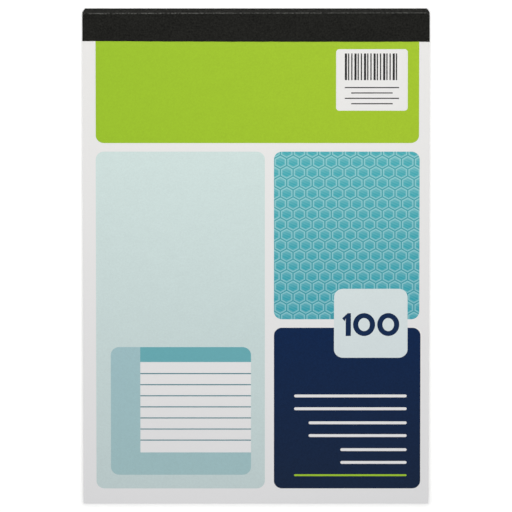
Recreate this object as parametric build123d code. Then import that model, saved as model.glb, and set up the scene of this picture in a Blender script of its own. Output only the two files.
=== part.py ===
from build123d import *
from math import hypot, sqrt
import os

os.makedirs("parts", exist_ok=True)

# A top-bound ruled writing pad, lying on its back. X is its width, +Y runs to
# the bound head, +Z is up through the cover. All sizes are in millimetres.

# Sheets and board
sheet_width = 152.4
sheet_length = 228.6
sheet_count = 100
sheet_thickness = 0.06
board_thickness = 0.6
cover_thickness = 0.18

# Binding at the head
glue_thickness = 0.3
tape_thickness = 0.15
tape_front_leg = 13.1
tape_back_leg = 13.1
tape_shoulder_radius = 0.4
tape_press = 0.03

# Head corners, blunted by handling
blunt_width = 1.15
blunt_depth = 1.8
blunt_radius = 1.2

# The cover's crease, which is its hinge
cover_gap = 0.1
fold_gap = 0.15
fold_lift = 0.1

# Ruling of the top sheet
rule_pitch = 8.73
rule_width = 0.25
rule_head_margin = 31.0
rule_foot_margin = 7.0

# Printed fields of the cover
print_thickness = 0.02
print_left_margin = 5.8
print_right_margin = 4.6
print_foot_margin = 7.25
panel_gap = 4.0
panel_corner_radius = 3.6
header_drop = 47.15
tall_panel_width = 74.3
pattern_right_reach = 0.3
navy_right_reach = 0.85
navy_height = 75.35

# White patch left bare in the header, with its bars and short lines
label_width = 31.45
label_height = 28.6
label_corner_radius = 1.45
label_right_inset = 5.0
label_top_inset = 3.5
bar_field_width = 23.8
bar_height = 12.4
bar_pitch = 1.4
bar_thick = 0.95
bar_thin = 0.55
bar_top_inset = 2.0
label_line_count = 4
label_line_height = 0.5
label_line_pitch = 2.5
label_line_gap = 3.2

# Inset picture of a ruled sheet, low in the tall panel
inset_height = 59.9
inset_corner_radius = 3.75
inset_foot_inset = 6.4
inset_left_inset = 6.4
inset_right_inset = 6.1
drawn_sheet_left = 13.0
drawn_sheet_foot = 10.5
drawn_band_height = 7.0
drawn_rule_pitch = 5.2
drawn_rule_width = 0.45

# Hexagon tiles of the pattern panel
tile_pitch = 5.6
tile_gap = 0.6
smallest_tile_share = 0.12

# Badge across the two right-hand panels
badge_width = 32.4
badge_height = 32.3
badge_corner_radius = 4.0
badge_right_inset = 4.85
badge_overlap = 18.25

# White guide lines in the navy panel
guide_left_insets = (8.9, 15.3, 29.3)
guide_pitch = 12.6
guide_rail_gap = 6.0
guide_width = 1.35
guide_right_inset = 6.0
guide_foot_inset = 12.2
foot_line_width = 0.9
foot_line_inset = 6.2

# Heights, from the surface that the pad lies on. The tape's back leg is pressed
# a little way into the soft board, and stands proud by the rest of its thickness.
board_z = tape_thickness - tape_press
sheets_z = board_z + board_thickness
sheets_height = sheet_count * sheet_thickness
sheets_top_z = sheets_z + sheets_height
binding_top_z = sheets_top_z + cover_thickness + tape_thickness
cover_z = sheets_top_z + cover_gap
cover_top_z = cover_z + cover_thickness
hinge_z = max(cover_top_z + print_thickness, binding_top_z) + fold_lift

# Places along the pad, with its whole length centred on the origin
overall_length = sheet_length + glue_thickness + tape_thickness
foot_y = -overall_length / 2
head_y = overall_length / 2
front_leg_y = head_y - tape_front_leg
back_leg_y = head_y - tape_back_leg
cover_head_y = front_leg_y - fold_gap
half_width = sheet_width / 2
binding_depth = tape_thickness + glue_thickness

# Places of the printed fields
print_left_x = -half_width + print_left_margin
print_right_x = half_width - print_right_margin
pattern_right_x = print_right_x + pattern_right_reach
navy_right_x = print_right_x + navy_right_reach
print_foot_y = foot_y + print_foot_margin
header_foot_y = front_leg_y - header_drop
panels_top_y = header_foot_y - panel_gap
tall_panel_right_x = print_left_x + tall_panel_width
right_column_x = tall_panel_right_x + panel_gap
navy_top_y = print_foot_y + navy_height
pattern_foot_y = navy_top_y + panel_gap
label_right_x = print_right_x - label_right_inset
label_left_x = label_right_x - label_width
label_top_y = front_leg_y - label_top_inset
label_foot_y = label_top_y - label_height
inset_left_x = print_left_x + inset_left_inset
inset_right_x = tall_panel_right_x - inset_right_inset
inset_foot_y = print_foot_y + inset_foot_inset
badge_right_x = print_right_x - badge_right_inset
badge_top_y = navy_top_y + badge_overlap

# Room given to a cutter past the face that it opens
overrun = 1.0


def box_between(x0, x1, y0, y1, z0, z1):
    """A plain block between two corners."""
    corner = Location(((x0 + x1) / 2, (y0 + y1) / 2, (z0 + z1) / 2))
    return corner * Box(x1 - x0, y1 - y0, z1 - z0)


def plan_face(depth, foot, side_overrun=0.0):
    """The pad's plan at a depth under the tape's outer face, from a foot line to
    the head. Each layer's blunted corner runs parallel to the one outside it."""
    slant = hypot(blunt_width, blunt_depth)
    layer_head = head_y - depth
    head_x = half_width - blunt_width - depth * (slant - blunt_width) / blunt_depth
    side_x = half_width + side_overrun
    side_y = head_y - blunt_depth - depth * slant / blunt_width - side_overrun * blunt_depth / blunt_width
    radius = blunt_radius - depth
    outline = FilletPolyline(
        (-side_x, foot),
        (side_x, foot),
        (side_x, side_y),
        (head_x, layer_head),
        (-head_x, layer_head),
        (-side_x, side_y),
        radius=(0, 0, 0, radius, radius, 0),
        close=True,
    )
    return make_face(outline)


def layer(depth, foot, z0, z1):
    """One flat layer of the stack, with the pad's blunted head corners."""
    return extrude(Pos(0, 0, z0) * plan_face(depth, foot), amount=z1 - z0)


def wrapped_form(depth, foot, side_overrun=0.0):
    """The block that a wrap encloses at a depth, with its head edges rounded."""
    radius = tape_shoulder_radius - depth
    z0 = depth
    z1 = binding_top_z - depth
    block = extrude(Pos(0, 0, z0) * plan_face(depth, foot, side_overrun), amount=z1 - z0)
    head_zone = head_y - depth - blunt_depth * (1 + side_overrun / blunt_width)
    faces = block.faces().sort_by(Axis.Z)
    rims = faces[0].edges() + faces[-1].edges()
    shoulders = [edge for edge in rims if edge.center().Y > head_zone]
    return fillet(shoulders, radius)


def field(x0, x1, y0, y1, radius):
    """A rounded rectangle in plan."""
    return Pos((x0 + x1) / 2, (y0 + y1) / 2) * RectangleRounded(x1 - x0, y1 - y0, radius)


def bar(x0, x1, y0, y1):
    """A square-cornered rectangle in plan."""
    return Pos((x0 + x1) / 2, (y0 + y1) / 2) * Rectangle(x1 - x0, y1 - y0)


def stroke(x0, x1, y, width):
    """A level line with round ends."""
    return Pos((x0 + x1) / 2, y) * SlotOverall(x1 - x0, width)


def ink(faces, base_z=cover_top_z):
    """A film of print on the surface at a height."""
    return extrude(Pos(0, 0, base_z) * faces, amount=print_thickness)


def page_block():
    return layer(binding_depth, foot_y, sheets_z, sheets_top_z)


def back_board():
    board = layer(binding_depth, foot_y, board_z, sheets_z)
    side = half_width + overrun
    pressed = box_between(-side, side, back_leg_y, head_y + overrun, -overrun, tape_thickness)
    return board - pressed


def cover_bound_edge():
    return layer(binding_depth, front_leg_y, sheets_top_z, sheets_top_z + cover_thickness)


def front_cover():
    return box_between(-half_width, half_width, foot_y, cover_head_y, cover_z, cover_top_z)


def head_glue():
    film = wrapped_form(tape_thickness, front_leg_y)
    stack = extrude(plan_face(binding_depth, front_leg_y - overrun, overrun), amount=binding_top_z)
    return film - stack


def binding_tape():
    foot = min(front_leg_y, back_leg_y)
    outside = wrapped_form(0.0, foot)
    inside = wrapped_form(tape_thickness, foot - overrun, overrun)
    tape = outside - inside
    side = half_width + overrun
    middle_z = binding_top_z / 2
    front_trim = box_between(-side, side, foot - overrun, front_leg_y, middle_z, binding_top_z + overrun)
    back_trim = box_between(-side, side, foot - overrun, back_leg_y, -overrun, middle_z)
    return tape - front_trim - back_trim


def page_ruling():
    top_y = head_y - rule_head_margin
    foot_limit = foot_y + rule_foot_margin
    count = int((top_y - foot_limit) / rule_pitch) + 1
    lines = [
        bar(-half_width, half_width, top_y - i * rule_pitch - rule_width, top_y - i * rule_pitch)
        for i in range(count)
    ]
    return ink(Sketch(children=lines), sheets_top_z)


def header_field():
    foot = field(
        print_left_x,
        print_right_x,
        header_foot_y,
        header_foot_y + header_drop,
        panel_corner_radius,
    )
    upper = bar(print_left_x, print_right_x, header_foot_y + panel_corner_radius, cover_head_y)
    patch = field(label_left_x, label_right_x, label_foot_y, label_top_y, label_corner_radius)
    below_crease = bar(print_left_x, print_right_x, header_foot_y, cover_head_y)
    return (foot + upper) & below_crease - patch


def label_marks():
    field_left = (label_left_x + label_right_x - bar_field_width) / 2
    bars_top = label_top_y - bar_top_inset
    count = int(bar_field_width / bar_pitch)
    marks = []
    for i in range(count):
        width = bar_thick if i % 3 == 0 else bar_thin
        x0 = field_left + i * bar_pitch
        marks.append(bar(x0, x0 + width, bars_top - bar_height, bars_top))
    for i in range(label_line_count):
        y1 = bars_top - bar_height - label_line_gap - i * label_line_pitch
        inset = (i % 2) * bar_pitch * 2
        x0 = field_left + inset
        x1 = field_left + bar_field_width - inset
        marks.append(bar(x0, x1, y1 - label_line_height, y1))
    return Sketch(children=marks)


def inset_outline():
    return field(
        inset_left_x,
        inset_right_x,
        inset_foot_y,
        inset_foot_y + inset_height,
        inset_corner_radius,
    )


def drawn_sheet():
    """The bare white sheet of the inset picture, running off its head and side."""
    sheet = bar(
        inset_left_x + drawn_sheet_left,
        inset_right_x + overrun,
        inset_foot_y + drawn_sheet_foot,
        inset_foot_y + inset_height + overrun,
    )
    return sheet & inset_outline()


def drawn_rules():
    """The picture's band along the head of its sheet, and its level rules."""
    left = inset_left_x + drawn_sheet_left
    right = inset_right_x
    top = inset_foot_y + inset_height
    foot = inset_foot_y + drawn_sheet_foot
    band = bar(left, right + overrun, top - drawn_band_height, top + overrun)
    lines = band & inset_outline()
    count = int((top - drawn_band_height - foot) / drawn_rule_pitch)
    for i in range(count):
        y = top - drawn_band_height - (i + 1) * drawn_rule_pitch
        if y - drawn_rule_width > foot + drawn_rule_width:
            lines += bar(left, right, y - drawn_rule_width, y)
    return lines


def tall_panel_field():
    panel = field(print_left_x, tall_panel_right_x, print_foot_y, panels_top_y, panel_corner_radius)
    return panel - inset_outline()


def badge_field():
    return field(
        badge_right_x - badge_width,
        badge_right_x,
        badge_top_y - badge_height,
        badge_top_y,
        badge_corner_radius,
    )


def pattern_field():
    panel = field(right_column_x, pattern_right_x, pattern_foot_y, panels_top_y, panel_corner_radius)
    return panel - badge_field()


def pattern_tiles():
    """Upright hexagons in a honeycomb, cut off where they meet the panel's edge."""
    panel = pattern_field()
    row_pitch = tile_pitch * sqrt(3) / 2
    tile_radius = (tile_pitch - tile_gap) / sqrt(3)
    rows = int((panels_top_y - pattern_foot_y) / row_pitch) + 2
    columns = int((pattern_right_x - right_column_x) / tile_pitch) + 2
    whole_tile = RegularPolygon(tile_radius, 6, rotation=30)
    tiles = []
    for row in range(rows):
        shift = (row % 2) * tile_pitch / 2
        for column in range(columns):
            x = right_column_x + column * tile_pitch - shift
            y = panels_top_y - row * row_pitch
            cut = Pos(x, y) * whole_tile & panel
            if cut is None:
                continue
            tiles += [face for face in cut.faces() if face.area > smallest_tile_share * whole_tile.area]
    return Sketch(children=tiles)


def navy_field():
    panel = field(right_column_x, navy_right_x, print_foot_y, navy_top_y, panel_corner_radius)
    panel -= badge_field()
    for line in guide_lines():
        panel -= line
    return panel


def guide_lines():
    """Three pairs of level lines, the longest pair on top, flush at the right."""
    right = navy_right_x - guide_right_inset
    lines = []
    for i, left_inset in enumerate(reversed(guide_left_insets)):
        foot = print_foot_y + guide_foot_inset + i * guide_pitch
        for y in (foot, foot + guide_rail_gap):
            lines.append(stroke(right_column_x + left_inset, right, y, guide_width))
    return lines


def foot_line():
    left = right_column_x + guide_left_insets[0]
    right = navy_right_x - guide_right_inset
    return stroke(left, right, print_foot_y + foot_line_inset, foot_line_width)


nodes = {
    "page_block": page_block(),
    "back_board": back_board(),
    "cover_bound_edge": cover_bound_edge(),
    "front_cover": front_cover(),
    "head_glue": head_glue(),
    "binding_tape": binding_tape(),
    "page_ruling": page_ruling(),
    "header_print": ink(header_field()),
    "label_marks_print": ink(label_marks()),
    "tall_panel_print": ink(tall_panel_field()),
    "inset_print": ink(inset_outline() - drawn_sheet()),
    "inset_rules_print": ink(drawn_rules()),
    "pattern_print": ink(pattern_field()),
    "pattern_tiles_print": ink(pattern_tiles(), cover_top_z + print_thickness),
    "navy_print": ink(navy_field() - foot_line()),
    "navy_foot_line_print": ink(foot_line()),
    "badge_print": ink(badge_field()),
}

for name, shape in nodes.items():
    export_step(shape, f"parts/{name}.step")
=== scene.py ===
import bmesh
import bpy
import math
import numpy as np
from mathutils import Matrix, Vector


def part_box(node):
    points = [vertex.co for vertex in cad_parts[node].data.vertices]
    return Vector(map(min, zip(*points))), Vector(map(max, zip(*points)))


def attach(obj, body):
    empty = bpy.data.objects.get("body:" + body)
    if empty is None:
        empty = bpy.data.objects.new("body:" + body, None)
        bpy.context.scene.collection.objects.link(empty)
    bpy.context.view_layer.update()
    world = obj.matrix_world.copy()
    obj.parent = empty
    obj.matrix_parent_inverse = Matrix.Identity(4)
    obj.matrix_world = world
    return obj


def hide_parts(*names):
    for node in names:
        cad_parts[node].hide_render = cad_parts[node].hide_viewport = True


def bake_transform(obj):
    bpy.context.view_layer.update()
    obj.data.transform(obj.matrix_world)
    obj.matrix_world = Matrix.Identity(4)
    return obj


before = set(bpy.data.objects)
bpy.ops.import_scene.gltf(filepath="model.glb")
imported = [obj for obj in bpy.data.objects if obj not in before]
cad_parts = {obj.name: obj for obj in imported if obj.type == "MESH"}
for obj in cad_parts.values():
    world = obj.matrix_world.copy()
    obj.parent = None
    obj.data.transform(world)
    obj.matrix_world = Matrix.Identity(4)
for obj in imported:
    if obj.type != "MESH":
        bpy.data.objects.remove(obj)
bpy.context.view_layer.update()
millimetre = 0.001

# Mesh makers. Every shape is a grid of points worked out as whole arrays.


def meshObject(name, points, quads, smooth, loops=None):
    # points (n, 3) in metres, quads (m, 4), smooth (m,), and extra faces with many corners;
    # an edge of a flat face is sharp, so that a smooth face beside it keeps its own normal
    extra = [] if loops is None else loops
    sizes = np.concatenate([np.full(len(quads), 4), [len(loop) for loop in extra]]).astype(np.int32)
    corners = np.concatenate([quads.ravel(), *extra]).astype(np.int32)
    starts = np.concatenate([[0], np.cumsum(sizes)[:-1]]).astype(np.int32)
    flags = np.concatenate([smooth, np.zeros(len(extra), bool)])
    mesh = bpy.data.meshes.new(name)
    mesh.vertices.add(len(points))
    mesh.vertices.foreach_set("co", points.astype(np.float32).ravel())
    mesh.loops.add(len(corners))
    mesh.loops.foreach_set("vertex_index", corners)
    mesh.polygons.add(len(sizes))
    mesh.polygons.foreach_set("loop_start", starts)
    mesh.polygons.foreach_set("use_smooth", flags)
    mesh.update(calc_edges=True)
    edgeOfCorner = np.empty(len(corners), np.int32)
    mesh.loops.foreach_get("edge_index", edgeOfCorner)
    sharp = np.zeros(len(mesh.edges), bool)
    sharp[edgeOfCorner[~np.repeat(flags, sizes)]] = True
    mesh.edges.foreach_set("use_edge_sharp", sharp)
    made = bpy.data.objects.new(name, mesh)
    bpy.context.scene.collection.objects.link(made)
    return made


def slab(name, top, bottom):
    # a closed slab: a top grid, a bottom grid that matches it, and the rim between them;
    # rows run along +X and columns along +Y, seen from above
    rows, columns = top.shape[:2]
    upper = np.arange(rows * columns).reshape(rows, columns)
    lower = upper + rows * columns
    topFaces = np.stack([upper[:-1, :-1], upper[1:, :-1], upper[1:, 1:], upper[:-1, 1:]], -1)
    bottomFaces = np.stack([lower[:-1, :-1], lower[:-1, 1:], lower[1:, 1:], lower[1:, :-1]], -1)
    topFaces, bottomFaces = topFaces.reshape(-1, 4), bottomFaces.reshape(-1, 4)
    rim = [
        np.stack([upper[:-1, 0], lower[:-1, 0], lower[1:, 0], upper[1:, 0]], -1),
        np.stack([upper[1:, -1], lower[1:, -1], lower[:-1, -1], upper[:-1, -1]], -1),
        np.stack([upper[0, 1:], lower[0, 1:], lower[0, :-1], upper[0, :-1]], -1),
        np.stack([upper[-1, :-1], lower[-1, :-1], lower[-1, 1:], upper[-1, 1:]], -1),
    ]
    quads = np.concatenate([topFaces, bottomFaces, *rim])
    smooth = np.zeros(len(quads), bool)
    smooth[: len(topFaces) + len(bottomFaces)] = True
    points = np.concatenate([top.reshape(-1, 3), bottom.reshape(-1, 3)])
    return meshObject(name, points, quads, smooth)


def smoothStep(value):
    # rises from 0 to 1 with level ends
    held = np.clip(value, 0, 1)
    return held * held * (3 - 2 * held)


def waves(position, lengths, phases):
    # a sum of sines of the given wave lengths, between about -1 and 1
    angle = 2 * math.pi * (position[..., None] / np.array(lengths) + np.array(phases))
    return np.sin(angle).mean(-1)


# Shader helpers


def addNode(tree, kind, **settings):
    made = tree.nodes.new(kind)
    for key, value in settings.items():
        setattr(made, key, value)
    return made


def setInput(tree, node, key, value):
    # links a socket, or sets a plain value
    if isinstance(value, bpy.types.NodeSocket):
        tree.links.new(value, node.inputs[key])
    elif value is not None:
        node.inputs[key].default_value = value


def maths(tree, operation, first, second=None, third=None, clamp=False):
    node = addNode(tree, "ShaderNodeMath", operation=operation, use_clamp=clamp)
    for index, value in enumerate((first, second, third)):
        setInput(tree, node, index, value)
    return node.outputs[0]


def mapRange(tree, value, fromMin, fromMax, toMin=0.0, toMax=1.0, smooth=False):
    node = addNode(tree, "ShaderNodeMapRange")
    node.interpolation_type = "SMOOTHSTEP" if smooth else "LINEAR"
    for key, item in enumerate((value, fromMin, fromMax, toMin, toMax)):
        setInput(tree, node, key, item)
    return node.outputs[0]


def mixColour(tree, factor, first, second):
    # the colour sockets of a Mix node are its inputs 6 and 7 and its output 2
    node = addNode(tree, "ShaderNodeMix", data_type="RGBA")
    setInput(tree, node, 0, factor)
    setInput(tree, node, 6, first)
    setInput(tree, node, 7, second)
    return node.outputs[2]


def shadeColour(tree, colour, shade):
    # a colour, linked or plain, times a shade near 1
    node = addNode(tree, "ShaderNodeVectorMath", operation="SCALE")
    setInput(tree, node, 0, colour)
    setInput(tree, node, "Scale", shade)
    return node.outputs[0]


def noise(tree, vector, scale, detail=2.0, roughness=0.5):
    node = addNode(tree, "ShaderNodeTexNoise")
    setInput(tree, node, "Vector", vector)
    setInput(tree, node, "Scale", scale)
    setInput(tree, node, "Detail", detail)
    setInput(tree, node, "Roughness", roughness)
    return node.outputs[0]


# Nearly all of a noise lies between these two values
noiseSpan = (0.3, 0.7)


def objectPlace(tree):
    return addNode(tree, "ShaderNodeTexCoord").outputs["Object"]


def objectNormal(tree):
    return addNode(tree, "ShaderNodeTexCoord").outputs["Normal"]


def separated(tree, vector):
    # the three parts of a vector
    node = addNode(tree, "ShaderNodeSeparateXYZ")
    setInput(tree, node, 0, vector)
    return node.outputs


def seenDirectly(tree):
    # 1 for the camera and for what it sees in a gloss or through something clear, 0 for lighting
    rays = addNode(tree, "ShaderNodeLightPath")
    seen = maths(tree, "ADD", rays.outputs["Is Camera Ray"], rays.outputs["Is Glossy Ray"])
    return maths(tree, "ADD", seen, rays.outputs["Is Transmission Ray"], clamp=True)


def stretched(tree, vector, scale):
    node = addNode(tree, "ShaderNodeMapping")
    setInput(tree, node, "Vector", vector)
    setInput(tree, node, "Scale", scale)
    return node.outputs[0]


def newGroup(name, inputs, outputs):
    # inputs: name to (socket type, default); outputs: name to socket type
    tree = bpy.data.node_groups.new(name, "ShaderNodeTree")
    for key, (kind, value) in inputs.items():
        socket = tree.interface.new_socket(name=key, in_out="INPUT", socket_type=kind)
        socket.default_value = value
    for key, kind in outputs.items():
        tree.interface.new_socket(name=key, in_out="OUTPUT", socket_type=kind)
    return tree, addNode(tree, "NodeGroupInput"), addNode(tree, "NodeGroupOutput")


def useGroup(tree, group, **values):
    node = addNode(tree, "ShaderNodeGroup", node_tree=group)
    for key, value in values.items():
        setInput(tree, node, key, value)
    return node


def rgba(red, green, blue):
    return (red, green, blue, 1.0)


# Shared effects


def makePaperGrain():
    # cloudy formation of the sheet and a fine tooth: a shade near 1, and a height in 0 to 1
    tree, given, put = newGroup(
        "paperGrain",
        {"Cloud": ("NodeSocketFloat", 0.012), "Tooth": ("NodeSocketFloat", 0.015)},
        {"Shade": "NodeSocketFloat", "Height": "NodeSocketFloat"},
    )
    cloudScale, toothScale = 170.0, 1500.0                   # cells to a metre
    place = objectPlace(tree)
    cloud = maths(tree, "SUBTRACT", noise(tree, place, cloudScale, 3.0), 0.5)
    tooth = maths(tree, "SUBTRACT", noise(tree, place, toothScale, 3.0, 0.65), 0.5)
    cloudShade = maths(tree, "MULTIPLY_ADD", cloud, given.outputs["Cloud"], 1.0)
    shade = maths(tree, "MULTIPLY_ADD", tooth, given.outputs["Tooth"], cloudShade)
    tree.links.new(shade, put.inputs["Shade"])
    tree.links.new(noise(tree, place, toothScale, 4.0, 0.65), put.inputs["Height"])
    return tree


def makeTwoTone():
    # a colour that runs from one ink to another between two places along a direction
    tree, given, put = newGroup(
        "twoTone",
        {
            "First": ("NodeSocketColor", rgba(1, 1, 1)),
            "Second": ("NodeSocketColor", rgba(1, 1, 1)),
            "Direction": ("NodeSocketVector", (0.0, 1.0, 0.0)),
            "From": ("NodeSocketFloat", 0.0),
            "To": ("NodeSocketFloat", 1.0),
            "Shade": ("NodeSocketFloat", 1.0),
        },
        {"Colour": "NodeSocketColor"},
    )
    along = addNode(tree, "ShaderNodeVectorMath", operation="DOT_PRODUCT")
    setInput(tree, along, 0, objectPlace(tree))
    setInput(tree, along, 1, given.outputs["Direction"])
    share = mapRange(tree, along.outputs["Value"], given.outputs["From"], given.outputs["To"])
    colour = mixColour(tree, share, given.outputs["First"], given.outputs["Second"])
    tree.links.new(shadeColour(tree, colour, given.outputs["Shade"]), put.inputs["Colour"])
    return tree


def makeHexCells():
    # distance from the middle of the nearest cell of a honeycomb, 0 in the middle and 1
    # on the line half way to the next cell; the nearer of two offset rectangular lattices
    tree, given, put = newGroup(
        "hexCells",
        {
            "Pitch": ("NodeSocketFloat", 0.0056),
            "Origin X": ("NodeSocketFloat", 0.0),
            "Origin Y": ("NodeSocketFloat", 0.0),
        },
        {"Reach": "NodeSocketFloat", "Lift": "NodeSocketFloat"},
    )
    placeX, placeY, _ = separated(tree, objectPlace(tree))
    pitch = given.outputs["Pitch"]
    height = maths(tree, "MULTIPLY", pitch, math.sqrt(3))
    across = maths(tree, "SUBTRACT", placeX, given.outputs["Origin X"])
    along = maths(tree, "SUBTRACT", placeY, given.outputs["Origin Y"])

    def offNearest(place, step):
        # how far a place is from the nearest whole multiple of a step
        nearest = maths(tree, "ROUND", maths(tree, "DIVIDE", place, step))
        return maths(tree, "SUBTRACT", place, maths(tree, "MULTIPLY", nearest, step))

    def lattice(shift):
        offX = offNearest(maths(tree, "MULTIPLY_ADD", pitch, shift, across), pitch)
        offY = offNearest(maths(tree, "MULTIPLY_ADD", height, shift, along), height)
        wide = maths(tree, "ABSOLUTE", offX)
        tall = maths(tree, "ABSOLUTE", offY)
        slant = maths(tree, "MULTIPLY_ADD", tall, math.sqrt(3) / 2, maths(tree, "MULTIPLY", wide, 0.5))
        return maths(tree, "MAXIMUM", wide, slant), offY

    reachA, liftA = lattice(0.0)
    reachB, liftB = lattice(0.5)
    nearest = maths(tree, "MINIMUM", reachA, reachB)
    half = maths(tree, "MULTIPLY", pitch, 0.5)
    firstNearer = maths(tree, "LESS_THAN", reachA, reachB)
    lift = maths(tree, "MULTIPLY", firstNearer, liftA)
    rest = maths(tree, "SUBTRACT", 1.0, firstNearer)
    lift = maths(tree, "MULTIPLY_ADD", rest, liftB, lift)
    tree.links.new(maths(tree, "DIVIDE", nearest, half), put.inputs["Reach"])
    tree.links.new(maths(tree, "DIVIDE", lift, half), put.inputs["Lift"])
    return tree


def makeRubbedHighlightLine():
    # wear, with a painted highlight, along a rounded fold that runs along X: 1 where the rubbing came
    # through, 0 elsewhere.
    # The line keeps to an angle round the fold's own middle, and drifts with X.
    tree, given, put = newGroup(
        "rubbedHighlightLine",
        {
            "Y": ("NodeSocketFloat", 0.0),
            "Z": ("NodeSocketFloat", 0.0),
            "Radius": ("NodeSocketFloat", 0.0004),
            "Angle": ("NodeSocketFloat", 0.8),
            "Drift": ("NodeSocketFloat", 0.0),
            "Width": ("NodeSocketFloat", 0.0003),
            "Amount": ("NodeSocketFloat", 0.5),
        },
        {"WearHighlight": "NodeSocketFloat"},
    )
    raggedScale, speckScale, patchScale = 900.0, 1150.0, 90.0          # cells to a metre
    highlightAndWearGate = (1.12, 1.34)           # where the summed noises begin to show the wear and painted highlight, and show it fully
    place = objectPlace(tree)
    placeX, placeY, placeZ = separated(tree, place)
    offY = maths(tree, "SUBTRACT", placeY, given.outputs["Y"])
    offZ = maths(tree, "SUBTRACT", placeZ, given.outputs["Z"])
    turned = maths(tree, "ARCTAN2", offZ, offY)
    lineAngle = maths(tree, "MULTIPLY_ADD", placeX, given.outputs["Drift"], given.outputs["Angle"])
    away = maths(tree, "ABSOLUTE", maths(tree, "SUBTRACT", turned, lineAngle))
    away = maths(tree, "MULTIPLY", away, given.outputs["Radius"])
    ragged = noise(tree, stretched(tree, place, (0.8, 1.0, 1.0)), raggedScale, 4.0, 0.7)
    width = maths(tree, "MULTIPLY", given.outputs["Width"], maths(tree, "MULTIPLY_ADD", ragged, 2.4, -0.2))
    band = maths(tree, "SUBTRACT", 1.0, mapRange(tree, away, 0.0, width, smooth=True))
    specks = noise(tree, stretched(tree, place, (1.0, 0.5, 0.5)), speckScale, 2.0, 0.6)
    patches = noise(tree, stretched(tree, place, (1.0, 0.2, 0.2)), patchScale, 3.0, 0.6)
    through = maths(tree, "ADD", maths(tree, "MULTIPLY_ADD", patches, 0.6, specks), given.outputs["Amount"])
    gate = mapRange(tree, through, *highlightAndWearGate)
    tree.links.new(maths(tree, "MULTIPLY", band, gate), put.inputs["WearHighlight"])
    return tree


def makeFlecks():
    # short fibres and specks of waste board: one mask of pale flecks and one of dark ones
    tree, given, put = newGroup(
        "flecks",
        {"Size": ("NodeSocketFloat", 700.0)},
        {"Pale": "NodeSocketFloat", "Dark": "NodeSocketFloat", "Height": "NodeSocketFloat"},
    )
    place = objectPlace(tree)
    lengthways = noise(tree, stretched(tree, place, (0.45, 1.0, 1.0)), given.outputs["Size"], 3.0, 0.7)
    crossways = noise(tree, stretched(tree, place, (1.0, 0.4, 1.0)), given.outputs["Size"], 3.0, 0.7)
    tree.links.new(mapRange(tree, lengthways, 0.59, 0.71), put.inputs["Pale"])
    tree.links.new(mapRange(tree, crossways, 0.61, 0.73), put.inputs["Dark"])
    tree.links.new(maths(tree, "ADD", lengthways, crossways), put.inputs["Height"])
    return tree


paperGrain = makePaperGrain()
twoTone = makeTwoTone()
hexCells = makeHexCells()
rubbedHighlightLine = makeRubbedHighlightLine()
flecks = makeFlecks()
print("shared shader groups made")

# Materials


def startMaterial(name, finish):
    # a material with the roughness and the specular level of a finish
    material = bpy.data.materials.new(name)
    material.use_nodes = True
    tree = material.node_tree
    principled = tree.nodes["Principled BSDF"]
    principled.inputs["Roughness"].default_value = finish["roughness"]
    principled.inputs["Specular IOR Level"].default_value = finish["specular"]
    return material, tree, principled


def grainOf(tree, finish):
    return useGroup(tree, paperGrain, Cloud=finish["cloud"], Tooth=finish["tooth"])


def addBump(tree, principled, height, strength, distance):
    bump = addNode(tree, "ShaderNodeBump")
    bump.inputs["Strength"].default_value = strength
    bump.inputs["Distance"].default_value = distance
    setInput(tree, bump, "Height", height)
    tree.links.new(bump.outputs[0], principled.inputs["Normal"])


# Finish of the satin cover paper and of all print on it
printFinish = {
    "roughness": 0.42,
    "specular": 0.10,
    "cloud": 0.04,
    "tooth": 0.21,
    "bump": (0.12, 0.02 * millimetre),   # strength, and depth of the tooth
}


def printMaterial(name, first, second, direction, start, end, tooth=printFinish["tooth"]):
    # a solid field of ink on coated paper, a little uneven, from one tone to another
    material, tree, principled = startMaterial(name, printFinish)
    grain = useGroup(tree, paperGrain, Cloud=printFinish["cloud"], Tooth=tooth)
    tone = useGroup(
        tree, twoTone, First=rgba(*first), Second=rgba(*second), Direction=direction,
        From=start, To=end, Shade=grain.outputs["Shade"],
    )
    tree.links.new(tone.outputs["Colour"], principled.inputs["Base Color"])
    addBump(tree, principled, grain.outputs["Height"], *printFinish["bump"])
    return material


def assign(piece, material):
    piece.data.materials.clear()
    piece.data.materials.append(material)


def assignNode(node, material):
    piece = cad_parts[node]
    for place in piece.material_slots:
        place.material = material


# Frame sizes that several pieces share, in metres

coverLow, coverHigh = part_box("front_cover")
boundLow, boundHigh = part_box("cover_bound_edge")
tapeLow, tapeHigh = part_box("binding_tape")
pagesLow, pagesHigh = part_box("page_block")
halfWidth = coverHigh.x
tapeEdgeY = boundLow.y

# The worn, blunted corners at the head, as in the solid model
blunted = {"width": 1.15 * millimetre, "depth": 1.8 * millimetre}


def bluntedSideEnd(depth):
    # where the straight side ends and the blunted corner starts, for a layer at a depth under the
    # tape's face: the corner's slanted line, moved in by that depth, square to itself
    slant = math.hypot(blunted["width"], blunted["depth"])
    return tapeHigh.y - blunted["depth"] - depth * slant / blunted["width"]


def bluntedHalfWidth(y, depth):
    # half the width of such a layer at a place along the pad
    slope = blunted["depth"] / blunted["width"]
    return halfWidth - np.clip(y - bluntedSideEnd(depth), 0, None) / slope


# The cover sheet: one sheet from under the tape to the foot, with its crease at the tape's edge

coverSheet = {
    "riseLength": 3.0 * millimetre,      # how far below the tape the free cover lifts off the pages
    "bendLength": 1.3 * millimetre,      # length of the crease that bends when the cover turns
    "bendRows": 20,
    "freeRows": 60,
    "boundRows": 12,
    "columns": 50,
    # painted light: the plain card is tinted warmer at the head, near the lamp, and cooler at the foot
    "headColourPaintedWarmLight": (0.850, 0.840, 0.832),
    "footColourPaintedCoolLight": (0.841, 0.838, 0.855),
    "cloud": 0.012,
    "tooth": 0.026,
    "bump": (0.15, 0.03 * millimetre),
}


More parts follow.
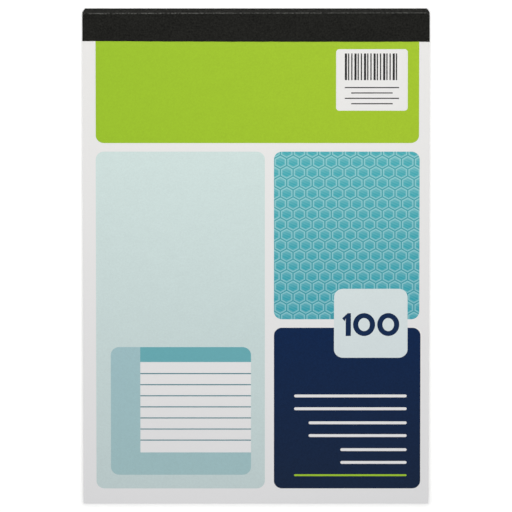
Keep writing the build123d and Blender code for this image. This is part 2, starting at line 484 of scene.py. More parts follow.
def coverDrop(y):
    # how much lower than the free cover the sheet lies, 0 over most of it
    step = coverHigh.z - boundHigh.z
    return step * smoothStep((y - (tapeEdgeY - coverSheet["riseLength"])) / coverSheet["riseLength"])


def makeCoverMaterial():
    # the plain card, with painted light: a warmer tint at the head, near the lamp, and a cooler one at the
    # foot
    material, tree, principled = startMaterial("coverCard", printFinish)
    grain = grainOf(tree, coverSheet)
    tone = useGroup(
        tree, twoTone, First=rgba(*coverSheet["footColourPaintedCoolLight"]), Second=rgba(*coverSheet["headColourPaintedWarmLight"]),
        Direction=(0.0, 1.0, 0.0), From=coverLow.y, To=tapeEdgeY, Shade=grain.outputs["Shade"],
    )
    tree.links.new(tone.outputs["Colour"], principled.inputs["Base Color"])
    addBump(tree, principled, grain.outputs["Height"], *coverSheet["bump"])
    return material


def makeCoverSheet():
    # a grid of places across and along the sheet, dropped towards the tape, with a like grid below it
    bendEnd = tapeEdgeY - coverSheet["bendLength"]
    alongPlaces = np.concatenate([
        np.linspace(coverLow.y, bendEnd, coverSheet["freeRows"], endpoint=False),
        np.linspace(bendEnd, tapeEdgeY, coverSheet["bendRows"], endpoint=False),
        np.linspace(tapeEdgeY, boundHigh.y, coverSheet["boundRows"]),
    ])
    across = np.linspace(-1, 1, coverSheet["columns"])
    u, y = np.meshgrid(across, alongPlaces, indexing="ij")
    x = u * bluntedHalfWidth(y, tapeHigh.y - boundHigh.y)
    top = np.stack([x, y, coverHigh.z - coverDrop(y)], -1)
    thickness = coverHigh.z - coverLow.z
    bottom = top - np.array([0, 0, thickness])
    piece = slab("coverSheet", top, bottom)
    assign(piece, makeCoverMaterial())
    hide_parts("front_cover", "cover_bound_edge")
    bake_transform(piece)
    return piece


makeCoverSheet()
print("cover sheet made")

# The green header, printed over the crease and on under the tape

headerInk = {
    "leftColour": (0.335, 0.546, 0.026),
    "rightColour": (0.379, 0.572, 0.028),
    "tooth": 0.28,
    "underTape": 0.4 * millimetre,
    "cuts": 18,                          # lines across it, along which it can bend
}


def makeHeaderInk():
    # the solid's own outline, cut across near the crease, lengthened to reach under the tape and
    # dropped as the sheet below it is
    low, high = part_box("header_print")
    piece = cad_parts["header_print"].copy()
    piece.data = piece.data.copy()
    piece.name = "headerInk"
    for key in list(piece.keys()):
        del piece[key]
    piece.parent = None
    bpy.context.scene.collection.objects.link(piece)
    shape = bmesh.new()
    shape.from_mesh(piece.data)
    bmesh.ops.remove_doubles(shape, verts=shape.verts, dist=1e-7)
    for y in np.linspace(tapeEdgeY - coverSheet["riseLength"], high.y - 1e-5, headerInk["cuts"]):
        everything = shape.verts[:] + shape.edges[:] + shape.faces[:]
        bmesh.ops.bisect_plane(shape, geom=everything, plane_co=(0, y, 0), plane_no=(0, 1, 0), dist=1e-8)
    bmesh.ops.remove_doubles(shape, verts=shape.verts, dist=1e-6)
    bmesh.ops.dissolve_degenerate(shape, edges=shape.edges, dist=1e-6)
    shape.to_mesh(piece.data)
    shape.free()
    count = len(piece.data.vertices)
    points = np.empty(count * 3, np.float32)
    piece.data.vertices.foreach_get("co", points)
    points = points.reshape(-1, 3)
    atHead = points[:, 1] > high.y - 5e-6
    points[atHead, 1] = tapeEdgeY + headerInk["underTape"]
    points[:, 2] -= coverDrop(points[:, 1])
    piece.data.vertices.foreach_set("co", points.ravel())
    piece.data.polygons.foreach_set("use_smooth", np.zeros(len(piece.data.polygons), bool))
    piece.data.update()
    material = printMaterial(
        "headerGreen", headerInk["leftColour"], headerInk["rightColour"], (1.0, 0.0, 0.0), low.x, high.x,
        tooth=headerInk["tooth"]
    )
    assign(piece, material)
    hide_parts("header_print")
    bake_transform(piece)
    return piece


makeHeaderInk()
print("header made")

# The binding tape: one strip folded round the head

bindingTape = {
    "thickness": 0.15 * millimetre,
    "shoulderRadius": 0.4 * millimetre,
    "columns": 260,
    "legRows": 26,
    "shoulderRows": 9,
    "headRows": 16,
    "edgeWander": 0.05 * millimetre,     # unevenness of the tape's lower edges
    "frontWaves": ((0.031, 0.0127, 0.0071), (0.1, 0.6, 0.3)),      # its wave lengths and phases
    "backWaves": ((0.041, 0.0163, 0.0083), (0.5, 0.2, 0.9)),
    "edgeBow": (0.16 * millimetre, 0.08 * millimetre),  # of the front edge, left and right of the middle
    "edgeDrop": 0.07 * millimetre,       # how far the front edge lies below its place in the solid
    "skew": 0.10 * millimetre,           # how far the front shoulder runs off square
    "dent": 0.012 * millimetre,
    "dentWaves": ((0.019, 0.0077, 0.0046), (0.0, 0.4, 0.7)),
    "dentSlant": 1.7,                    # how far the dents run along X for each step round the fold
    "dentReach": 3.0 * millimetre,       # how far from the head the dents fade out
    "arcStep": 0.4 * millimetre,         # travel of the dents from row to row
    "colour": (0.0149, 0.0149, 0.0135),
    # paler where rubbed through; on the front fold this is also a painted highlight
    "wornHighlightColour": (0.150, 0.150, 0.140),
    "grainScale": 1250.0,                # cells to a metre
    "cloudScale": 120.0,
    "scuffAndGlintScale": 700.0,
    "grainShade": (0.28, 1.72),          # from the darkest to the palest grain
    "cloudShade": (-0.10, 0.10),
    "headLightAndScuffs": (-0.30, 1.00),         # how much paler the head's face is: painted light on the face turned to the lamp, with a scuffed grain and painted glints
    "roughness": 0.90,
    "darkRoughness": 0.74,               # of the darkest grain
    "specular": 0.03,
    "bump": (0.25, 0.03 * millimetre),
}
# Where the tape is rubbed through, with a painted highlight on the front fold's line: the angle is up from
# the head's direction, round the line's own middle, and the drift is how far that angle changes from the
# pad's middle to its right side
frontRubAndHighlight = {
    "radius": 3 * bindingTape["shoulderRadius"],
    "angle": math.radians(25),
    "drift": math.radians(-8),
    "width": 0.62 * millimetre,
    "amount": 0.46,
}
backWear = {
    "radius": bindingTape["shoulderRadius"],
    "angle": math.radians(-42),
    "drift": math.radians(9),
    "width": 0.28 * millimetre,
    "amount": 0.34,
}


def tapeSection(y0, y1, headY, topZ, lowZ):
    # the path of the outer face, from the front leg's edge y0 round the head to the back
    # leg's edge y1; each argument is an array over the columns. Gives points and outward normals.
    radius = bindingTape["shoulderRadius"]
    share = np.linspace(0, 1, bindingTape["legRows"])[None, :]
    turn = np.linspace(0, math.pi / 2, bindingTape["shoulderRows"] + 2)[1:-1][None, :]
    fall = np.linspace(0, 1, bindingTape["headRows"])[None, :]
    one = np.ones_like(share)
    frontY = y0[:, None] + (headY - radius - y0)[:, None] * share
    frontZ = topZ[:, None] * one
    upperY = (headY - radius)[:, None] + radius * np.sin(turn)
    upperZ = (topZ - radius)[:, None] + radius * np.cos(turn)
    faceY = headY[:, None] * np.ones_like(fall)
    faceZ = (topZ - radius)[:, None] + (lowZ + 2 * radius - topZ)[:, None] * fall
    lowerY = (headY - radius)[:, None] + radius * np.cos(turn)
    lowerZ = (lowZ + radius)[:, None] - radius * np.sin(turn)
    backY = (headY - radius)[:, None] + (y1 - headY + radius)[:, None] * share
    backZ = lowZ[:, None] * one
    y = np.concatenate([frontY, upperY, faceY, lowerY, backY], 1)
    z = np.concatenate([frontZ, upperZ, faceZ, lowerZ, backZ], 1)
    angles = np.concatenate([
        np.full(share.shape[1], math.pi / 2), math.pi / 2 - turn[0], np.zeros(fall.shape[1]),
        -turn[0], np.full(share.shape[1], -math.pi / 2),
    ])
    return y, z, np.cos(angles), np.sin(angles)


def wornHighlightFold(tree, rubAndHighlight, middleZ):
    # the rubbed line along one of the tape's two folds, with a painted highlight on the front one
    return useGroup(
        tree, rubbedHighlightLine, Y=tapeHigh.y - rubAndHighlight["radius"], Z=middleZ, Radius=rubAndHighlight["radius"],
        Angle=rubAndHighlight["angle"], Drift=rubAndHighlight["drift"] / halfWidth, Width=rubAndHighlight["width"], Amount=rubAndHighlight["amount"],
    ).outputs["WearHighlight"]


def makeTapeMaterial():
    material, tree, principled = startMaterial("tapePaper", bindingTape)
    place = objectPlace(tree)
    grain = noise(tree, place, bindingTape["grainScale"], 5.0, 0.75)
    cloud = noise(tree, place, bindingTape["cloudScale"], 3.0, 0.6)
    grainShade = mapRange(tree, grain, *noiseSpan, *bindingTape["grainShade"])
    cloudShade = mapRange(tree, cloud, *noiseSpan, *bindingTape["cloudShade"])
    shade = maths(tree, "ADD", grainShade, cloudShade)
    # painted light: the face turned to the head, and to the lamp beyond it, is made paler, with a scuffed
    # grain and painted glints
    _, facingY, _ = separated(tree, objectNormal(tree))
    atHead = mapRange(tree, facingY, 0.7, 1.0)
    scuffsAndGlints = noise(tree, stretched(tree, place, (1.0, 1.0, 0.45)), bindingTape["scuffAndGlintScale"], 3.0, 0.7)
    headFaceLightAndScuffs = mapRange(tree, scuffsAndGlints, *noiseSpan, *bindingTape["headLightAndScuffs"])
    shade = maths(tree, "MULTIPLY_ADD", atHead, headFaceLightAndScuffs, shade)
    # painted highlight and wear along the front fold, and wear along the back fold
    front = wornHighlightFold(tree, frontRubAndHighlight, tapeHigh.z - frontRubAndHighlight["radius"])
    back = wornHighlightFold(tree, backWear, tapeLow.z + backWear["radius"])
    rubAndHighlight = maths(tree, "MAXIMUM", front, back)
    whole = shadeColour(tree, bindingTape["colour"], shade)
    colour = mixColour(tree, rubAndHighlight, whole, rgba(*bindingTape["wornHighlightColour"]))
    tree.links.new(colour, principled.inputs["Base Color"])
    roughness = mapRange(tree, grain, *noiseSpan, bindingTape["darkRoughness"], bindingTape["roughness"])
    tree.links.new(roughness, principled.inputs["Roughness"])
    addBump(tree, principled, grain, *bindingTape["bump"])
    return material


def makeBindingTape():
    # the folded section carried along the width. The corners cut it back, the edges wander, the
    # front fold runs a little off square, and shallow dents run slantwise over the fold.
    x = np.linspace(-halfWidth, halfWidth, bindingTape["columns"])
    corner = blunted["depth"] * np.clip(1 - (halfWidth - np.abs(x)) / blunted["width"], 0, 1)
    headY = tapeHigh.y - corner
    share = x / halfWidth
    bow = np.where(share < 0, *bindingTape["edgeBow"]) * share * (share - 1) - bindingTape["edgeDrop"]
    frontEdge = tapeEdgeY + bow + bindingTape["edgeWander"] * waves(x, *bindingTape["frontWaves"])
    backEdge = tapeLow.y + bindingTape["edgeWander"] * waves(x, *bindingTape["backWaves"])
    topZ = tapeHigh.z + 0 * x
    lowZ = tapeLow.z + 0 * x
    y, z, normalY, normalZ = tapeSection(frontEdge, backEdge, headY, topZ, lowZ)
    height = (z - tapeLow.z) / (tapeHigh.z - tapeLow.z)
    reach = bindingTape["dentReach"]
    nearHead = smoothStep((y - (tapeHigh.y - reach)) / reach)
    y = y - bindingTape["skew"] * (1 - share[:, None]) / 2 * height * nearHead
    column = x[:, None] + 0 * y
    arc = np.arange(y.shape[1])[None, :] * bindingTape["arcStep"]
    dents = waves(column + bindingTape["dentSlant"] * arc, *bindingTape["dentWaves"]) * nearHead
    inset = bindingTape["dent"] * (dents - 1)
    outerY = y + inset * normalY
    outerZ = z + inset * normalZ * (np.abs(normalY) > 0.01)      # the flat legs stay flat
    outer = np.stack([column, outerY, outerZ], -1)
    inner = np.stack([
        column,
        y - bindingTape["thickness"] * normalY,
        z - bindingTape["thickness"] * normalZ,
    ], -1)
    piece = slab("bindingTape", outer, inner)
    assign(piece, makeTapeMaterial())
    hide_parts("binding_tape")
    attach(piece, "pad")
    return piece


makeBindingTape()
print("binding tape made")

# The page block: a hundred sheets, each with its own trimmed edge

pageBlock = {
    "sheets": 100,
    "sheetSpread": 0.025 * millimetre,   # how far single sheets stand back
    "liftSpread": 0.05 * millimetre,     # how far whole lifts of sheets stand back
    "sheetsPerLift": 9,
    "grooveDepth": 0.018 * millimetre,
    "sideRows": 46,
    "footRows": 30,
    "headRows": 9,
    "rippleWaves": ((0.061, 0.023), (0.2, 0.7)),   # of the trimmed edge: wave lengths and phases
    "colour": (0.82, 0.82, 0.80),
    "edgeColour": (0.86, 0.855, 0.83),
    "edgeShade": (0.90, 1.05),           # between the darker and the paler layers of the edge
    "roughness": 0.7,
    "specular": 0.2,
    "cloud": 0.014,
    "tooth": 0.03,
    "bump": (0.20, 0.03 * millimetre),
}


def pageOutline():
    # the trimmed outline, walked anticlockwise from the foot's left corner, with outward normals
    depth = tapeHigh.y - pagesHigh.y
    headHalf = float(bluntedHalfWidth(np.array(pagesHigh.y), depth))
    foot = np.linspace(-halfWidth, halfWidth, pageBlock["footRows"], endpoint=False)
    side = np.linspace(pagesLow.y, bluntedSideEnd(depth), pageBlock["sideRows"])
    head = np.linspace(headHalf, -headHalf, pageBlock["headRows"])
    sideX = np.full(len(side), halfWidth)
    footY, headY = np.full(len(foot), pagesLow.y), np.full(len(head), pagesHigh.y)
    x = np.concatenate([foot, sideX, head, -sideX])[:-1]
    y = np.concatenate([footY, side, headY, side[::-1]])[:-1]
    normalX = np.where(np.abs(x) >= halfWidth - 1e-9, np.sign(x), 0.0)
    normalY = np.where(y <= pagesLow.y + 1e-9, -1.0, 0.0)
    return x, y, normalX, normalY


def makePageMaterial():
    # paper on the faces, and the paler and darker layers of the cut sheets on the edges
    material, tree, principled = startMaterial("pagePaper", pageBlock)
    grain = grainOf(tree, pageBlock)
    sheet = (pagesHigh.z - pagesLow.z) / pageBlock["sheets"]
    layers = noise(tree, stretched(tree, objectPlace(tree), (12.0, 12.0, 0.35 / sheet)), 1.0, 3.0, 0.75)
    layerShade = mapRange(tree, layers, *noiseSpan, *pageBlock["edgeShade"])
    _, _, facingZ = separated(tree, objectNormal(tree))
    onEdge = maths(tree, "SUBTRACT", 1.0, maths(tree, "ABSOLUTE", facingZ), clamp=True)
    edge = shadeColour(tree, pageBlock["edgeColour"], layerShade)
    face = shadeColour(tree, pageBlock["colour"], grain.outputs["Shade"])
    tree.links.new(mixColour(tree, onEdge, face, edge), principled.inputs["Base Color"])
    addBump(tree, principled, grain.outputs["Height"], *pageBlock["bump"])
    return material


def makePageBlock():
    # the trimmed outline at three levels a sheet: a groove between sheets, and the sheet's own edge.
    # Each sheet and each lift of sheets stands back by its own amount, and the edge ripples.
    x, y, normalX, normalY = pageOutline()
    random = np.random.default_rng(11)
    count = pageBlock["sheets"]
    lifts = count // pageBlock["sheetsPerLift"] + 1
    liftBack = np.repeat(random.uniform(0, 1, lifts), pageBlock["sheetsPerLift"])[:count]
    liftBack = liftBack * pageBlock["liftSpread"]
    sheetBack = random.uniform(0, 1, count) * pageBlock["sheetSpread"]
    sway = random.uniform(0, 1, count)
    sheet = (pagesHigh.z - pagesLow.z) / count
    level = np.arange(count)
    levels = np.stack([level + 0.0, level + 0.12, level + 0.88], 1).ravel() * sheet + pagesLow.z
    levels = np.append(levels, pagesHigh.z)
    back = np.repeat(liftBack + sheetBack, 3)
    groove = np.tile([pageBlock["grooveDepth"], 0.0, 0.0], count)
    back = np.append(back + groove, back[-1])
    swayed = np.append(np.repeat(sway, 3), sway[-1])
    around = np.cumsum(np.hypot(np.diff(x, prepend=x[0]), np.diff(y, prepend=y[0])))
    swaying = around[None, :] + 0.05 * swayed[:, None]
    ripple = 0.5 * (1 + waves(swaying, *pageBlock["rippleWaves"]))
    backGrid = back[:, None] + pageBlock["sheetSpread"] * ripple
    gridX = x[None, :] - normalX[None, :] * backGrid
    gridY = y[None, :] - normalY[None, :] * backGrid
    gridZ = np.broadcast_to(levels[:, None], gridX.shape)
    points = np.stack([gridX, gridY, gridZ], -1).reshape(-1, 3)
    rows, columns = gridX.shape
    index = np.arange(rows * columns).reshape(rows, columns)
    after = np.roll(index, -1, axis=1)
    quads = np.stack([index[:-1], after[:-1], after[1:], index[1:]], -1).reshape(-1, 4)
    caps = [index[-1], index[0][::-1]]
    piece = meshObject("pageBlock", points, quads, np.zeros(len(quads), bool), caps)
    assign(piece, makePageMaterial())
    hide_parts("page_block")
    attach(piece, "pad")
    return piece


makePageBlock()
print("page block made")

# Board, glue and ruling keep their solids and get their finish here

boardFinish = {
    "colour": (0.30, 0.275, 0.235),
    "pale": (0.42, 0.40, 0.36),
    "dark": (0.17, 0.155, 0.13),
    "fleckSize": 1050.0,                 # flecks to a metre
    "cloud": 0.10,
    "tooth": 0.12,
    "roughness": 0.85,
    "specular": 0.15,
    "bump": (0.35, 0.08 * millimetre),
}
glueFinish = {
    "colour": (0.70, 0.70, 0.64),
    "cloud": 0.12,
    "tooth": 0.06,
    "roughness": 0.35,
    "specular": 0.4,
    "bump": (0.40, 0.06 * millimetre),
}
rulingFinish = {
    "colour": (0.30, 0.50, 0.66),
    "thinScale": 1800.0,                 # cells to a metre
    "thinning": 0.35,                    # how much of the paper shows where the ink is thinnest
    "roughness": 0.6,
    "specular": 0.2,
}


def makeBoardMaterial():
    material, tree, principled = startMaterial("chipboard", boardFinish)
    specks = useGroup(tree, flecks, Size=boardFinish["fleckSize"])
    pale = mixColour(tree, specks.outputs["Pale"], rgba(*boardFinish["colour"]), rgba(*boardFinish["pale"]))
    colour = mixColour(tree, specks.outputs["Dark"], pale, rgba(*boardFinish["dark"]))
    grain = grainOf(tree, boardFinish)
    tree.links.new(shadeColour(tree, colour, grain.outputs["Shade"]), principled.inputs["Base Color"])
    addBump(tree, principled, specks.outputs["Height"], *boardFinish["bump"])
    return material


def makeGlueMaterial():
    material, tree, principled = startMaterial("paddingGlue", glueFinish)
    grain = grainOf(tree, glueFinish)
    colour = shadeColour(tree, glueFinish["colour"], grain.outputs["Shade"])
    tree.links.new(colour, principled.inputs["Base Color"])
    addBump(tree, principled, grain.outputs["Height"], *glueFinish["bump"])
    return material


def makeRulingMaterial():
    # pale ink that thins a little along its length
    material, tree, principled = startMaterial("rulingInk", rulingFinish)
    place = stretched(tree, objectPlace(tree), (0.3, 1.0, 1.0))
    thin = mapRange(tree, noise(tree, place, rulingFinish["thinScale"], 3.0, 0.7), 0.35, 0.75)
    weak = maths(tree, "MULTIPLY", thin, rulingFinish["thinning"])
    colour = mixColour(tree, weak, rgba(*rulingFinish["colour"]), rgba(*pageBlock["colour"]))
    tree.links.new(colour, principled.inputs["Base Color"])
    return material


assignNode("back_board", makeBoardMaterial())
assignNode("head_glue", makeGlueMaterial())
assignNode("page_ruling", makeRulingMaterial())
print("board, glue and ruling finished")

# Printed fields of the cover keep their solids. Their tones run as the print does.

panelInks = {
    "tall_panel_print": {"head": (0.656, 0.782, 0.766), "foot": (0.585, 0.696, 0.705), "tooth": 0.18},
    "inset_print": {"head": (0.373, 0.562, 0.603), "foot": (0.377, 0.562, 0.589), "tooth": 0.20},
    "navy_print": {"head": (0.0012, 0.0155, 0.0655), "foot": (0.0057, 0.0159, 0.0450), "tooth": 0.90},
    "badge_print": {"head": (0.720, 0.799, 0.808), "foot": (0.705, 0.783, 0.801), "tooth": 0.11},
    "navy_foot_line_print": {"head": (0.350, 0.560, 0.034), "foot": (0.350, 0.560, 0.034), "tooth": 0.20},
    "label_marks_print": {"head": (0.020, 0.020, 0.022), "foot": (0.020, 0.020, 0.022), "tooth": 0.20},
}
patternInk = {
    "gapHead": (0.070, 0.382, 0.431),
    "gapFoot": (0.055, 0.341, 0.415),
    "fillHead": (0.061, 0.417, 0.471),
    "fillFoot": (0.037, 0.357, 0.442),
    "lineHead": (0.355, 0.667, 0.684),
    "lineFoot": (0.302, 0.611, 0.657),
    "lineStart": 0.60,                   # where the pale outline begins, on the way to the next cell
    "lineSoft": 0.27,                    # and over what further share it comes up
    "pitch": 5.6 * millimetre,           # from cell to cell, as in the solid model
    "upperGlow": 0.35,                   # how much paler the upper half of each tile is
    "hatchPitch": 1.15 * millimetre,     # fine slanting strokes across each tile
    "hatchSlope": math.radians(64),      # direction across the strokes, from +X
    "hatchAmount": 0.16,
    "cloud": 0.02,
    "tooth": 0.14,
}
rulesInk = {
    "band": (0.150, 0.430, 0.480),
    "rule": (0.030, 0.190, 0.235),
    "bandReach": 8.0 * millimetre,       # how far down from the top the band's colour reaches
    "cloud": 0.02,
    "tooth": 0.14,
}


def finishPanels():
    for node, tones in panelInks.items():
        low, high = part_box(node)
        material = printMaterial(
            node + "Ink", tones["foot"], tones["head"], (0.0, 1.0, 0.0), low.y, high.y, tooth=tones["tooth"]
        )
        assignNode(node, material)


def finishPattern():
    # tiles with a pale outline, paler in their upper half, with fine slanting strokes across them
    low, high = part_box("pattern_print")
    ground = printMaterial(
        "patternGround", patternInk["gapFoot"], patternInk["gapHead"], (0.0, 1.0, 0.0), low.y, high.y
    )
    assignNode("pattern_print", ground)
    material, tree, principled = startMaterial("patternTiles", printFinish)
    grain = grainOf(tree, patternInk)
    cells = useGroup(tree, hexCells, **{"Pitch": patternInk["pitch"], "Origin X": low.x, "Origin Y": high.y})
    tones = {
        part: useGroup(
            tree, twoTone, First=rgba(*patternInk[part + "Foot"]), Second=rgba(*patternInk[part + "Head"]),
            Direction=(0.0, 1.0, 0.0), From=low.y, To=high.y, Shade=grain.outputs["Shade"],
        ).outputs["Colour"]
        for part in ("fill", "line")
    }
    start = patternInk["lineStart"]
    outline = mapRange(tree, cells.outputs["Reach"], start, start + patternInk["lineSoft"])
    glow = maths(tree, "MULTIPLY", mapRange(tree, cells.outputs["Lift"], -0.2, 0.9), patternInk["upperGlow"])
    slope = patternInk["hatchSlope"]
    across = addNode(tree, "ShaderNodeVectorMath", operation="DOT_PRODUCT")
    setInput(tree, across, 0, objectPlace(tree))
    across.inputs[1].default_value = (math.cos(slope), math.sin(slope), 0.0)
    turns = maths(tree, "MULTIPLY", across.outputs["Value"], 2 * math.pi / patternInk["hatchPitch"])
    strokes = mapRange(tree, maths(tree, "SINE", turns), -0.4, 1.0, 0.0, patternInk["hatchAmount"])
    glow = maths(tree, "ADD", glow, strokes, clamp=True)
    lit = mixColour(tree, glow, tones["fill"], tones["line"])
    colour = mixColour(tree, outline, lit, tones["line"])
    tree.links.new(colour, principled.inputs["Base Color"])
    addBump(tree, principled, grain.outputs["Height"], *printFinish["bump"])
    assignNode("pattern_tiles_print", material)


def finishInsetRules():
    # the band at the head of the drawn sheet is paler than its rules
    _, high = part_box("inset_rules_print")
    material, tree, principled = startMaterial("insetRules", printFinish)
    grain = grainOf(tree, rulesInk)
    _, placeY, _ = separated(tree, objectPlace(tree))
    inBand = maths(tree, "GREATER_THAN", placeY, high.y - rulesInk["bandReach"])
    colour = mixColour(tree, inBand, rgba(*rulesInk["rule"]), rgba(*rulesInk["band"]))
    tree.links.new(shadeColour(tree, colour, grain.outputs["Shade"]), principled.inputs["Base Color"])
    addBump(tree, principled, grain.outputs["Height"], *printFinish["bump"])
    assignNode("inset_rules_print", material)


finishPanels()
finishPattern()
finishInsetRules()
print("printed fields finished")

# The plain sheet count on the badge: a stroke with a flag, and two rings

badgeNumber = {
    "height": 10.7 * millimetre,
    "ringWidth": 9.7 * millimetre,
    "stroke": 2.30 * millimetre,
    "space": 0.95 * millimetre,
    "flagReach": 3.8 * millimetre,
    "flagDrop": 2.4 * millimetre,
    "drop": 0.6 * millimetre,            # how far below the badge's middle the number sits
    "film": 0.02 * millimetre,
    "ringSteps": 96,
    "colour": (0.0035, 0.0190, 0.069),
}


def ringFilm(name, centreX, centreY, baseZ):
    # an oval ring: an outer ellipse and an inner one, a stroke apart
    steps = badgeNumber["ringSteps"]
    angle = np.linspace(0, 2 * math.pi, steps, endpoint=False)
    circle = np.stack([np.cos(angle), np.sin(angle)], -1)
    outerAxes = np.array([badgeNumber["ringWidth"], badgeNumber["height"]]) / 2
    innerAxes = outerAxes - badgeNumber["stroke"]
    centre = np.array([centreX, centreY])
    loops = [centre + circle * innerAxes, centre + circle * outerAxes]
    levels = [baseZ, baseZ + badgeNumber["film"]]
    points = np.concatenate([
        np.concatenate([loop, np.full((steps, 1), z)], 1) for z in levels for loop in loops
    ])
    inner0, outer0, inner1, outer1 = (np.arange(steps) + steps * k for k in range(4))

    def wall(a, b):
        return np.stack([a, np.roll(a, -1), np.roll(b, -1), b], -1)

    quads = np.concatenate([
        wall(outer1, inner1), wall(inner0, outer0), wall(outer0, outer1), wall(inner1, inner0)
    ])
    return meshObject(name, points, quads, np.zeros(len(quads), bool))


def strokeFilm(name, corners, baseZ):
    # a straight-sided film over its corners, walked anticlockwise
    count = len(corners)
    lower = np.concatenate([corners, np.full((count, 1), baseZ)], 1)
    upper = lower + np.array([0, 0, badgeNumber["film"]])
    index = np.arange(count)
    after = np.roll(index, -1)
    quads = np.stack([index, after, after + count, index + count], -1)
    return meshObject(
        name, np.concatenate([lower, upper]), quads, np.zeros(count, bool), [index + count, index[::-1]]
    )


def makeBadgeNumber():
    low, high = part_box("badge_print")
    tall, stroke = badgeNumber["height"], badgeNumber["stroke"]
    total = badgeNumber["flagReach"] + 2 * badgeNumber["ringWidth"] + 2 * badgeNumber["space"]
    left = (low.x + high.x - total) / 2
    middle = (low.y + high.y) / 2 - badgeNumber["drop"]
    foot, head = middle - tall / 2, middle + tall / 2
    stemRight = left + badgeNumber["flagReach"]
    stemLeft = stemRight - stroke
    flagFoot = head - badgeNumber["flagDrop"]
    corners = np.array([
        [stemLeft, foot],
        [stemRight, foot],
        [stemRight, head],
        [stemRight - stroke * 0.6, head],                    # the flag's slanted top starts here
        [left, flagFoot],                                    # and ends here, square across its stroke
        [left + stroke * 0.45, flagFoot - stroke * 0.62],
        [stemLeft, flagFoot - stroke * 0.05],
    ])
    ringStep = badgeNumber["ringWidth"] + badgeNumber["space"]
    ringX = stemRight + badgeNumber["space"] + badgeNumber["ringWidth"] / 2
    made = [
        strokeFilm("badgeOne", corners, high.z),
        ringFilm("badgeRingLeft", ringX, middle, high.z),
        ringFilm("badgeRingRight", ringX + ringStep, middle, high.z),
    ]
    colour = badgeNumber["colour"]
    material = printMaterial("numberInk", colour, colour, (0.0, 1.0, 0.0), foot, head)
    for piece in made:
        assign(piece, material)
        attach(piece, "cover")


makeBadgeNumber()
print("badge number made")

# Floor, light and camera

studio = {
    "floorSize": 40.0,
    "floorColour": (0.86, 0.86, 0.86),
    "floorLift": 0.42,                   # emission that carries the floor to white for the camera
    "farLift": 0.68,                     # the same far out, where the lamp no longer reaches
    "liftReach": (0.25, 1.1),            # distances between which one turns into the other, in metres
    "floorDrop": 0.02 * millimetre,
    "wallLevel": 0.97,                   # pale studio walls, low down all round
    "ceilingLevel": 0.20,
    "wallTop": (0.35, 0.65),             # sines of the heights between which the walls fade out
    "worldColour": (0.965, 0.985, 1.0),
    "keyPlace": (0.0, 0.20, 0.62),
    "keySize": 0.34,
    "keyPower": 2.55,
    "keyColour": (1.0, 0.985, 0.955),
}


def makeFloor():
    # a plain pale floor that takes the object's shadow, with a lift to white that only what looks at
    # it sees, and that lights nothing
    half = studio["floorSize"] / 2
    z = -studio["floorDrop"]
    corners = np.array([[-half, -half, z], [half, -half, z], [half, half, z], [-half, half, z]])
    floor = meshObject("studioFloor", corners, np.array([[0, 1, 2, 3]]), np.zeros(1, bool))
    material = bpy.data.materials.new("studioFloor")
    material.use_nodes = True
    tree = material.node_tree
    tree.nodes.clear()
    diffuse = addNode(tree, "ShaderNodeBsdfDiffuse")
    diffuse.inputs["Color"].default_value = rgba(*studio["floorColour"])
    lift = addNode(tree, "ShaderNodeEmission")
    away = addNode(tree, "ShaderNodeVectorMath", operation="LENGTH")
    setInput(tree, away, 0, objectPlace(tree))
    near, far = studio["liftReach"]
    level = mapRange(
        tree, away.outputs["Value"], near, far, studio["floorLift"], studio["farLift"], smooth=True
    )
    setInput(tree, lift, "Strength", level)
    black = addNode(tree, "ShaderNodeEmission")
    black.inputs["Strength"].default_value = 0.0
    extra = addNode(tree, "ShaderNodeMixShader")
    tree.links.new(seenDirectly(tree), extra.inputs[0])
    tree.links.new(black.outputs[0], extra.inputs[1])
    tree.links.new(lift.outputs[0], extra.inputs[2])
    total = addNode(tree, "ShaderNodeAddShader")
    tree.links.new(diffuse.outputs[0], total.inputs[0])
    tree.links.new(extra.outputs[0], total.inputs[1])
    output = addNode(tree, "ShaderNodeOutputMaterial")
    tree.links.new(total.outputs[0], output.inputs["Surface"])
    assign(floor, material)


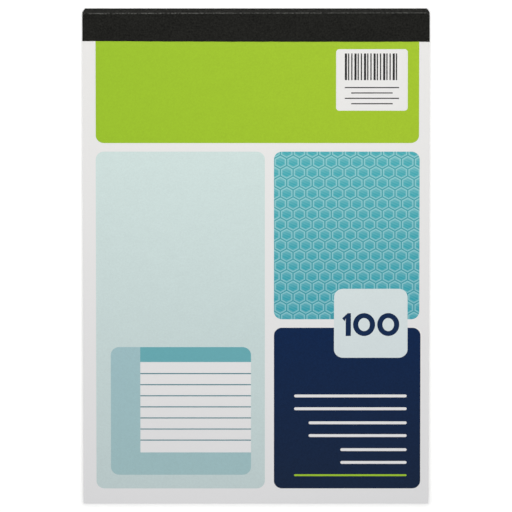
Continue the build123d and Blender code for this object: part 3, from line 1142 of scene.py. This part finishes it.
def makeWorld():
    # a soft even room: pale walls that darken towards the ceiling, and white where it is looked at
    world = bpy.data.worlds.new("studioWorld")
    bpy.context.scene.world = world
    world.use_nodes = True
    tree = world.node_tree
    tree.nodes.clear()
    _, _, upward = separated(tree, objectPlace(tree))
    low, high = studio["wallTop"]
    level = mapRange(tree, upward, low, high, studio["wallLevel"], studio["ceilingLevel"], smooth=True)
    soft = addNode(tree, "ShaderNodeBackground")
    soft.inputs["Color"].default_value = rgba(*studio["worldColour"])
    setInput(tree, soft, "Strength", level)
    white = addNode(tree, "ShaderNodeBackground")
    white.inputs["Strength"].default_value = 1.0
    white.inputs["Color"].default_value = rgba(1, 1, 1)
    mix = addNode(tree, "ShaderNodeMixShader")
    tree.links.new(seenDirectly(tree), mix.inputs[0])
    tree.links.new(soft.outputs[0], mix.inputs[1])
    tree.links.new(white.outputs[0], mix.inputs[2])
    output = addNode(tree, "ShaderNodeOutputWorld")
    tree.links.new(mix.outputs[0], output.inputs["Surface"])


def makeKey():
    lamp = bpy.data.lights.new("keyLight", "AREA")
    lamp.shape = "SQUARE"
    lamp.size = studio["keySize"]
    lamp.energy = studio["keyPower"]
    lamp.color = studio["keyColour"]
    key = bpy.data.objects.new("keyLight", lamp)
    bpy.context.scene.collection.objects.link(key)
    key.location = studio["keyPlace"]
    key.visible_camera = False


# The photograph is taken square on to the width, from beyond the head, with hardly any
# perspective: 6 inches across are 346.35 of its 512 pixels, and the pad is 495 pixels tall
view = {
    "tilt": math.radians(19.58),
    "lens": 1650.0,
    "padPixels": 346.35,
    "imagePixels": 512,
    "middleRow": 256.3,
}


def makeCamera():
    # turned by the tilt about X, and so far off that the pad's width takes its share of the picture;
    # the middle of what shows, from the tape's head edge to the foot, lies on the middle row
    data = bpy.data.cameras.new("camera")
    camera = bpy.data.objects.new("camera", data)
    bpy.context.scene.collection.objects.link(camera)
    data.lens = view["lens"]
    pixelsPerMetre = view["padPixels"] / (2 * halfWidth)
    distance = view["imagePixels"] * data.lens / data.sensor_width / pixelsPerMetre
    sine, cosine = math.sin(view["tilt"]), math.cos(view["tilt"])
    topmost = tapeHigh.y * cosine
    lowest = coverLow.y * cosine - coverHigh.z * sine
    rowOffset = (view["middleRow"] - (view["imagePixels"] - 1) / 2) / pixelsPerMetre
    middle = (topmost + lowest) / 2 + rowOffset
    aimY = middle * cosine
    aimZ = -middle * sine
    surface = coverHigh.z * cosine
    reach = distance + surface
    camera.location = (0.0, aimY + reach * sine, aimZ + reach * cosine)
    camera.rotation_euler = (-view["tilt"], 0.0, 0.0)
    data.clip_start = 0.1
    data.clip_end = 40.0
    bpy.context.scene.camera = camera


makeFloor()
makeWorld()
makeKey()
makeCamera()
bpy.context.scene.view_settings.view_transform = "Standard"
print("floor, light and camera set")
